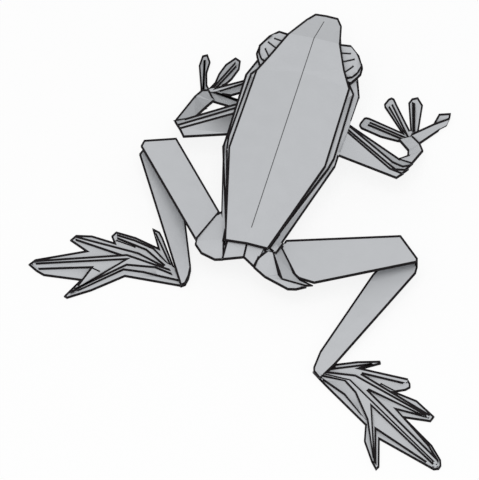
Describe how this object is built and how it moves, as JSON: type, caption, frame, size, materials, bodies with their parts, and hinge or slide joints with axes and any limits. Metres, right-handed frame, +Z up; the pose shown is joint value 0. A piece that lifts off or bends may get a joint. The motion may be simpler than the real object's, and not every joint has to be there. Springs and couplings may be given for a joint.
{
  "type": "origami frog",
  "caption": "Folded paper frog with a roofed body, puffed eyes, pleated arms and long folded legs with splayed toes, resting on its belly.",
  "frame": {"origin": "middle of the flat belly, on the surface that the frog rests on", "axes": "+Y towards the head, +X towards the frog's right side, +Z up from the belly to the back"},
  "size_m": [0.1181, 0.1349, 0.0158],
  "materials": {
    "paper": "matte grey paper"
  },
  "bodies": {
    "root": {"folded_frog": "paper"}
  },
  "joints": []
}
